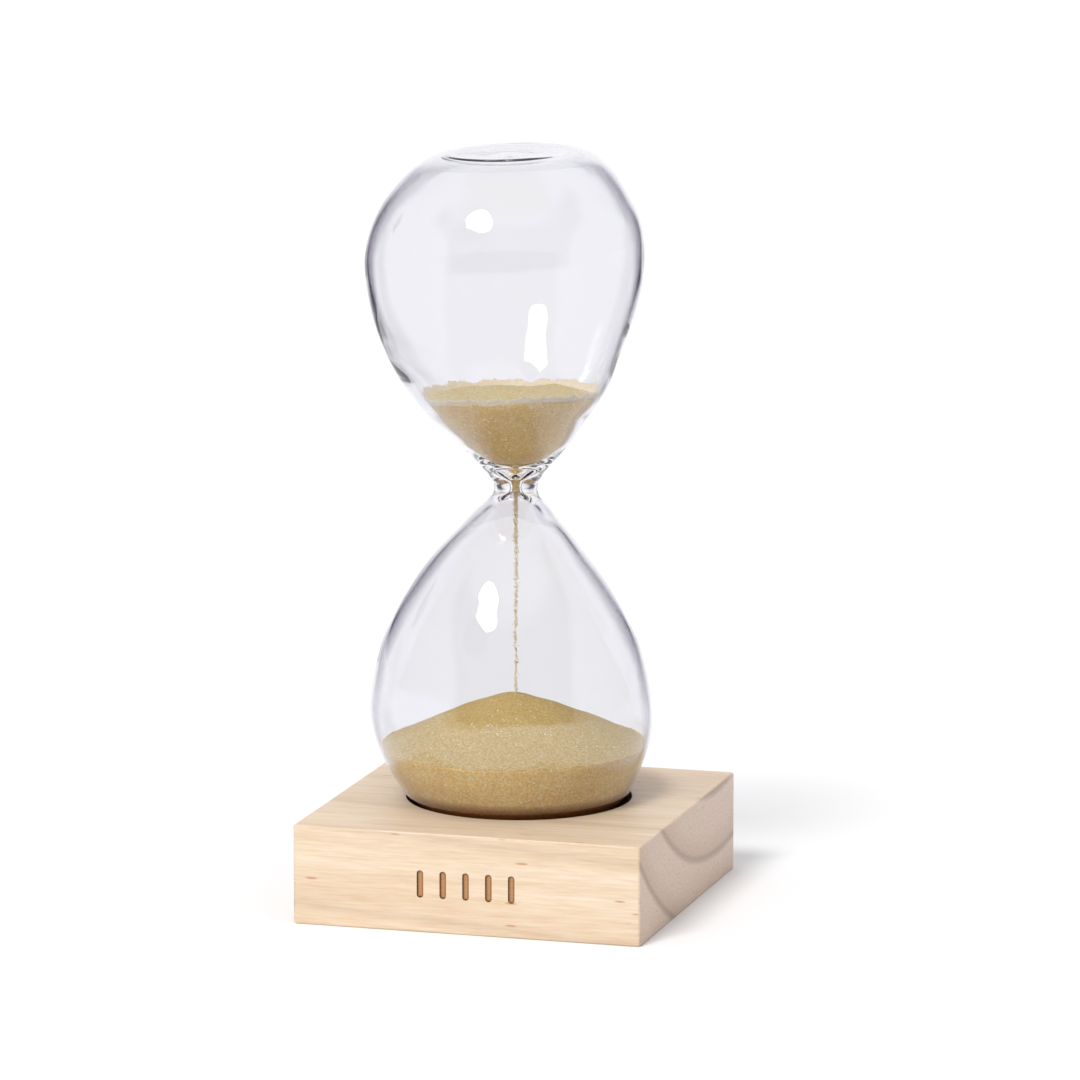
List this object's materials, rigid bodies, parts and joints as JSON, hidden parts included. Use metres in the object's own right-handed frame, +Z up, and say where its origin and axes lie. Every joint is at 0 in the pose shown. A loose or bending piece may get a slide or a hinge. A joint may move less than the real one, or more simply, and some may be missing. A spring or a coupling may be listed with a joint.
{
  "type": "hourglass",
  "caption": "Sand timer: a blown glass vessel of two bulbs with pale gold sand, standing loose in a round recess in a square solid wood block.",
  "frame": {"origin": "centre of the wood block's underside", "axes": "+Z up along the glass, +X to the right along the marked front face, +Y towards the back"},
  "size_m": [0.07, 0.07, 0.1477],
  "materials": {
    "pale_wood": "sanded, unvarnished, laser burnt in the recess and the strokes",
    "clear_glass": "fire polished",
    "gold_sand": "fine dry grains with bright flecks"
  },
  "bodies": {
    "base": {"base_block": "pale_wood"},
    "glass": {"lower_bulb": "clear_glass", "upper_bulb": "clear_glass", "fill_seal": "clear_glass", "upper_sand": "gold_sand", "sand_stream": "gold_sand", "lower_sand": "gold_sand"}
  },
  "joints": [
    {"name": "glass_lift", "type": "slide", "parent": "base", "child": "glass", "axis": [0, 0, 1], "range_m": [0, 0.06]}
  ]
}
